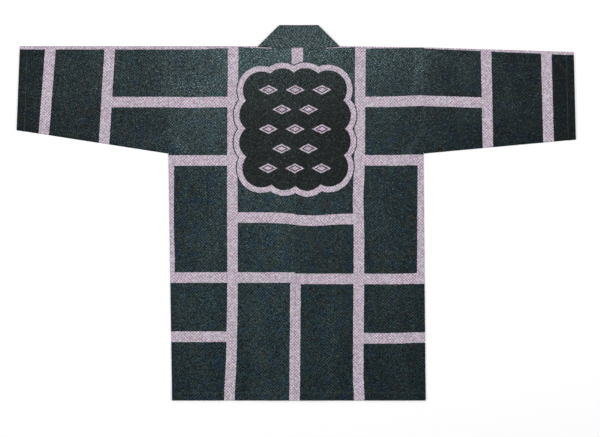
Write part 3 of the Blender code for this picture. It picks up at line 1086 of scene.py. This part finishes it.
def dark_dye(weave, colours, dyed, painted_sheen_and_thin_dye, inside, plain):
    """The dark cloth, with its panel if it has one, its painted light and shade, its bright knots
    and its painted glints.
    """
    dye = weave.dye
    dark = dye.blend(weave.cloudy.rise(*CLOUDY_RANGE), colours.deep, colours.faded)
    for tint in TINTS:
        share = getattr(weave, tint.grain).rise(tint.start, tint.full) * tint.share
        dark = dye.blend(share, dark, getattr(colours, tint.colour))
    # A share of the painted sheen colour, a painted highlight, laid over the dark dye together with
    # the thin dye
    dark = dye.blend(painted_sheen_and_thin_dye * SHEEN_AND_THIN_DYE_SHARE, dark, colours.painted_sheen_and_thin_dye)
    knot_share = KNOT_SHARE
    if plain is not None:
        dark = dye.blend(PLAIN_SHARE, dark, plain)
    if inside is not None:
        # The black panel takes a share of the painted sheen too
        black = dye.blend(painted_sheen_and_thin_dye * PANEL_SHEEN_AND_THIN_DYE_SHARE, colours.panel, colours.painted_sheen_and_thin_dye)
        dark = dye.blend(inside, dark, black)
        knot_share = KNOT_SHARE - inside * KNOTS_LOST_ON_PANEL

    # Painted light: the dark cloth and its knots are painted lighter at the neck and darker out to
    # the cuffs and down to the hem, scaled for each piece
    far = (weave.out - FAR_OUT * MM).most(0.0)
    light = PAINTED_LIGHT_FALLOFF.neck - weave.out * PAINTED_LIGHT_FALLOFF.out - far * PAINTED_LIGHT_FALLOFF.far - weave.depth * PAINTED_LIGHT_FALLOFF.down
    light = dyed.light * light
    # The yarns' crowns are painted lighter than the gaps between them, a painted shade between the
    # yarns
    tone = weave.weighed(DARK_TONES) * light * (weave.crown * PAINTED_YARN_SHADE[0] + PAINTED_YARN_SHADE[1])
    hatch = weave.hatch.rise(*HATCH_RANGE) * HATCH_LIGHT[0] + HATCH_LIGHT[1]
    dark = dye.scaled(dark, tone * hatch)
    # Painted glints: bright points of painted highlight where the glint grain meets the painted
    # sheen, shown as brightened knots
    painted_glint = weave.glint * painted_sheen_and_thin_dye
    knots = weave.nep * light * (1.0 - weave.depth * KNOTS_LOST_DOWN)
    knots = knots.most(painted_glint * PAINTED_GLINT_SHARE) * knot_share
    return dye.blend(knots, dark, dye.scaled(colours.nep, painted_glint * PAINTED_GLINT_LIGHT + 1.0))


def pale_dye(weave, colours):
    """The pale cloth of the bands."""
    dye = weave.dye
    pale = dye.blend(weave.hatch.rise(*PALE_HATCH_RANGE), colours.band_shade, colours.band)
    pale = dye.blend(weave.tint.rise(*COOL_RANGE) * COOL_SHARE, pale, colours.band_cool)
    return dye.scaled(pale, weave.weighed(PALE_TONES) + PALE_LIGHT)


def stitch_mask(weave, stitches):
    """1 on the stitches along the hem."""
    run = {"across": weave.across, "along": weave.along}[stitches]
    dash = (run / (STITCH_PITCH * MM)).sum("FRACT")
    hem = weave.dye.stored("hem")
    line = (STITCH_WIDTH / 2 * MM - abs(hem - HEM_TURN * MM)).within(STITCH_SOFT * MM)
    return line * (1.0 - (dash - STITCH_SHARE).within(STITCH_END_SOFT))


def cotton(node, colours, sizes, bands=None, with_panel=False, stitches=None, plain=None):
    """A coarse woven cotton. It is dyed with bands, or is all one plain colour."""
    dye = Dye(node + " cotton")
    weave = Weave(dye, sizes, DYED[node].seed)
    pale, inside = pattern(weave, sizes, bands, with_panel) if bands else (None, None)
    painted_sheen_and_thin_dye = sheen_and_thin_dye_share(weave, DYED[node])
    colour = dark_dye(weave, colours, DYED[node], painted_sheen_and_thin_dye, inside, plain)
    if pale is not None:
        colour = dye.blend(pale, colour, pale_dye(weave, colours))

    height = weave.weighed(HEIGHTS)
    if stitches:
        held = stitch_mask(weave, stitches)
        colour = dye.blend(held * STITCH_DYE, colour, colours.nep)
        height = height - held * STITCH_DEPTH
    rub = (RUB_REACH * MM - dye.stored("seam")).within(RUB_SOFT * MM)
    colour = dye.blend(rub * RUB_DYE, colour, colours.deep)

    # Loose fibres dull the cloth when it is seen along its face
    facing = dye.value(dye.node("ShaderNodeLayerWeight", {}, {"Blend": 0.5}).outputs["Facing"])
    low = facing * facing
    rough = weave.weighed(ROUGHNESSES) + low * low * GRAZING_ROUGHNESS + DARK_ROUGHNESS
    if pale is not None:
        rough = rough + pale * PALE_ROUGHNESS
    inputs = {"Strength": BUMP_STRENGTH, "Distance": BUMP_DEPTH * MM, "Height": height}
    bump = dye.node("ShaderNodeBump", {}, inputs)
    for name, value in (
        ("Base Color", colour),
        ("Roughness", rough),
        *SURFACE.items(),
        ("Normal", bump.outputs[0]),
    ):
        dye.feed(dye.shader.inputs[name], value)
    return dye.material


def colour_of(name, description, value):
    settings = {"subtype": "COLOR", "size": 4, "min": 0, "max": 1, "default": (*value, 1.0)}
    return bpy.props.FloatVectorProperty(name=name, description=description, **settings)


def length_of(name, description, value):
    settings = {"subtype": "DISTANCE", "unit": "LENGTH", "min": 0, "default": value}
    return bpy.props.FloatProperty(name=name, description=description, **settings)


class HappiSizes(bpy.types.PropertyGroup):
    """The colours of the dyes, and of the painted sheen."""

    wall: length_of("Cloth", "Thickness of one layer of cloth", 0.0012)
    body_length: length_of("Length", "From the shoulder fold to the hem", 0.850)
    armhole: length_of("Armhole", "From the shoulder fold to the underarm", 0.258)
    reach: length_of("Reach", "From the centre back to the cuff", 0.6645)
    neck: length_of("Neck", "Half the neck's width at the shoulder", 0.099)
    collar_top: length_of("Collar Height", "The collar above the shoulder line", 0.0504)
    collar_width: length_of("Collar Width", "The folded collar down the fronts", 0.051)
    hem_seam: length_of("Front", "From the middle to its seam at the hem", 0.057)
    band_width: length_of("Bands", "Width of the pale bands", BAND_WIDTH * MM)
    yarn_pitch: length_of("Yarn", "From one yarn of the weave to the next", 0.00085)
    hatch: length_of("Basket Weave", "Across one small block of the basket weave", 0.0036)
    step: length_of("Mesh Step", "Distance between the cloth's points", 0.0052)


class HappiColours(bpy.types.PropertyGroup):
    """The colours of the dyes."""

    deep: colour_of("Deep Dye", "Where the dark dye is deepest", (0.0018, 0.0074, 0.0105))
    faded: colour_of("Faded Dye", "Where the dark dye is thinner", (0.0038, 0.0120, 0.0162))
    warm: colour_of("Warm Yarn", "Dark yarns that took less blue", (0.013, 0.012, 0.010))
    blue: colour_of("Blue Yarn", "Dark yarns that took more blue", (0.001, 0.010, 0.026))
    green: colour_of("Green Yarn", "Dark yarns with a greener dye", (0.004, 0.020, 0.015))
    # The colour of the painted sheen, a painted highlight, and of the thin dye
    painted_sheen_and_thin_dye: colour_of("Painted Sheen and Thin Dye", "Painted highlight near the neck and on creases, and thin dye", (0.042, 0.064, 0.067))
    nep: colour_of("Nep", "Small bright knots in the yarn", (0.100, 0.145, 0.150))
    band: colour_of("Band", "The pale bands", (0.62, 0.485, 0.60))
    band_cool: colour_of("Band, Cool", "Where the pale bands are greyer", (0.43, 0.42, 0.45))
    band_shade: colour_of("Band, Shade", "The weave's shade in the bands", (0.24, 0.215, 0.255))
    collar: colour_of("Collar", "The plain collar", (0.030, 0.044, 0.046))
    panel: colour_of("Panel", "The black panel on the back", (0.0030, 0.0036, 0.0036))


def settings():
    scene = bpy.context.scene
    return Lay(scene.happi_sizes), scene.happi_sizes, scene.happi_colours


class HAPPI_OT_body(bpy.types.Operator):
    """Cut, lay and dye the two body panels"""

    bl_idname = "happi.body"
    bl_label = "Body"

    def execute(self, context):
        lay, sizes, colours = settings()
        for half in HALVES:
            node = "body_" + half.name
            dyed = cotton(node, colours, sizes, BODY_BANDS[half.name], True, "across")
            made = finish_cloth(body_cloth(lay, half), node, lay, dyed)
            width = max(half.side_top, half.side_hem)
            above = lay.armhole / lay.body_length
            mean = half.side_top * above + (half.side_top + half.side_hem) / 2 * (1 - above)
            front = mean - (lay.neck + lay.hem_seam) / 2
            width * MM
            2 * lay.body_length * MM
            (mean + front) * lay.body_length * MM * MM
        return {"FINISHED"}


class HAPPI_OT_sleeves(bpy.types.Operator):
    """Cut, lay and dye the two sleeves"""

    bl_idname = "happi.sleeves"
    bl_label = "Sleeves"

    def execute(self, context):
        lay, sizes, colours = settings()
        for half in HALVES:
            node = "sleeve_" + half.name
            dyed = cotton(node, colours, sizes, SLEEVE_BANDS[half.name], False, "along")
            made = finish_cloth(sleeve_cloth(lay, half), node, lay, dyed)
            length = lay.reach + half.cuff_lean / 2 - half.side_top
            2 * lay.armhole * MM
            length * MM
            (lay.armhole + half.cuff_depth) * length * MM * MM
        return {"FINISHED"}


class HAPPI_OT_collar(bpy.types.Operator):
    """Fold, lay and dye the collar band"""

    bl_idname = "happi.collar"
    bl_label = "Collar"

    def execute(self, context):
        lay, sizes, colours = settings()
        dyed = cotton("collar", colours, sizes, plain=colours.collar)
        cloth, caps = collar_cloth(lay)
        made = finish_cloth(cloth, "collar", lay, dyed, caps, wall=False)
        length = 2 * (lay.body_length + lay.neck)
        2 * lay.collar_width * MM
        length * MM
        return {"FINISHED"}


# The photograph's frame: its width in pixels, what a pixel measures, and its middle
FRAME_WIDTH = 600
PIXEL = 0.0024
FRAME_MIDDLE = (0.009, -0.0138)
CAMERA_HEIGHT = 6.0
SENSOR = 36.0

Lamp = namedtuple("Lamp", "name place aim width depth power")
LAMPS = (
    Lamp("key", (-0.10, 0.56, 2.0), (-0.04, 0.30, 0.0), 1.0, 0.3, 12.5),
    Lamp("fill left", (-3.6, 0.2, 2.4), (0.0, 0.0, 0.0), 1.6, 1.6, 62.0),
    Lamp("fill right", (3.6, 0.2, 2.4), (0.0, 0.0, 0.0), 1.6, 1.6, 54.0),
)
WORLD_STRENGTH = 0.5

# The floor is a hair above zero, so that it doesn't flicker in the cloth's flat underside
FLOOR_LIFT = 0.00012
FLOOR_SIZE = 12.0
FLOOR_LOOK = {"Base Color": (0.98, 0.98, 0.98, 1), "Roughness": 0.9, "Specular IOR Level": 0.1}


class HAPPI_OT_stage(bpy.types.Operator):
    """Add the floor, the lights and the camera"""

    bl_idname = "happi.stage"
    bl_label = "Stage"

    def execute(self, context):
        scene = bpy.context.scene
        deselect()
        bpy.ops.mesh.primitive_plane_add(size=FLOOR_SIZE, location=(0, 0, FLOOR_LIFT))
        floor = bpy.context.object
        floor.name = "floor"
        paint = Dye("pale floor")
        for name, value in FLOOR_LOOK.items():
            paint.shader.inputs[name].default_value = value
        floor.data.materials.append(paint.material)

        for lamp in LAMPS:
            light = bpy.data.lights.new(lamp.name, "AREA")
            light.shape = "ELLIPSE"
            light.size = lamp.width
            light.size_y = lamp.depth
            light.energy = lamp.power
            holder = bpy.data.objects.new(lamp.name, light)
            scene.collection.objects.link(holder)
            holder.location = lamp.place
            toward = Vector(lamp.aim) - Vector(lamp.place)
            holder.rotation_euler = toward.to_track_quat("-Z", "Y").to_euler()

        world = bpy.data.worlds.new("studio")
        world.use_nodes = True
        backdrop = world.node_tree.nodes["Background"]
        backdrop.inputs["Color"].default_value = (1.0, 1.0, 1.0, 1.0)
        backdrop.inputs["Strength"].default_value = WORLD_STRENGTH
        scene.world = world

        view = bpy.data.cameras.new("camera")
        view.sensor_width = SENSOR
        view.lens = SENSOR * CAMERA_HEIGHT / (FRAME_WIDTH * PIXEL)
        view.clip_end = 50.0
        camera = bpy.data.objects.new("camera", view)
        scene.collection.objects.link(camera)
        camera.location = (*FRAME_MIDDLE, CAMERA_HEIGHT)
        scene.camera = camera
        scene.view_settings.view_transform = "Standard"
        return {"FINISHED"}


class HAPPI_PT_sidebar(bpy.types.Panel):
    """The coat's steps, sizes and colours"""

    bl_idname = "HAPPI_PT_sidebar"
    bl_label = "Happi Coat"
    bl_space_type = "VIEW_3D"
    bl_region_type = "UI"
    bl_category = "Happi Coat"

    def draw(self, context):
        layout = self.layout
        for step in STEPS:
            layout.operator(step.bl_idname)
        for group in (context.scene.happi_sizes, context.scene.happi_colours):
            column = layout.column(align=True)
            for name in group.bl_rna.properties.keys():
                if name not in ("rna_type", "name"):
                    column.prop(group, name)


STEPS = (HAPPI_OT_body, HAPPI_OT_sleeves, HAPPI_OT_collar, HAPPI_OT_stage)
CLASSES = (HappiSizes, HappiColours, *STEPS, HAPPI_PT_sidebar)


def register():
    for made in CLASSES:
        bpy.utils.register_class(made)
    bpy.types.Scene.happi_sizes = bpy.props.PointerProperty(type=HappiSizes)
    bpy.types.Scene.happi_colours = bpy.props.PointerProperty(type=HappiColours)


def unregister():
    del bpy.types.Scene.happi_sizes
    del bpy.types.Scene.happi_colours
    for made in reversed(CLASSES):
        bpy.utils.unregister_class(made)


def main():
    register()
    bpy.ops.happi.body()
    bpy.ops.happi.sleeves()
    bpy.ops.happi.collar()
    bpy.ops.happi.stage()


if __name__ == "__main__":
    main()
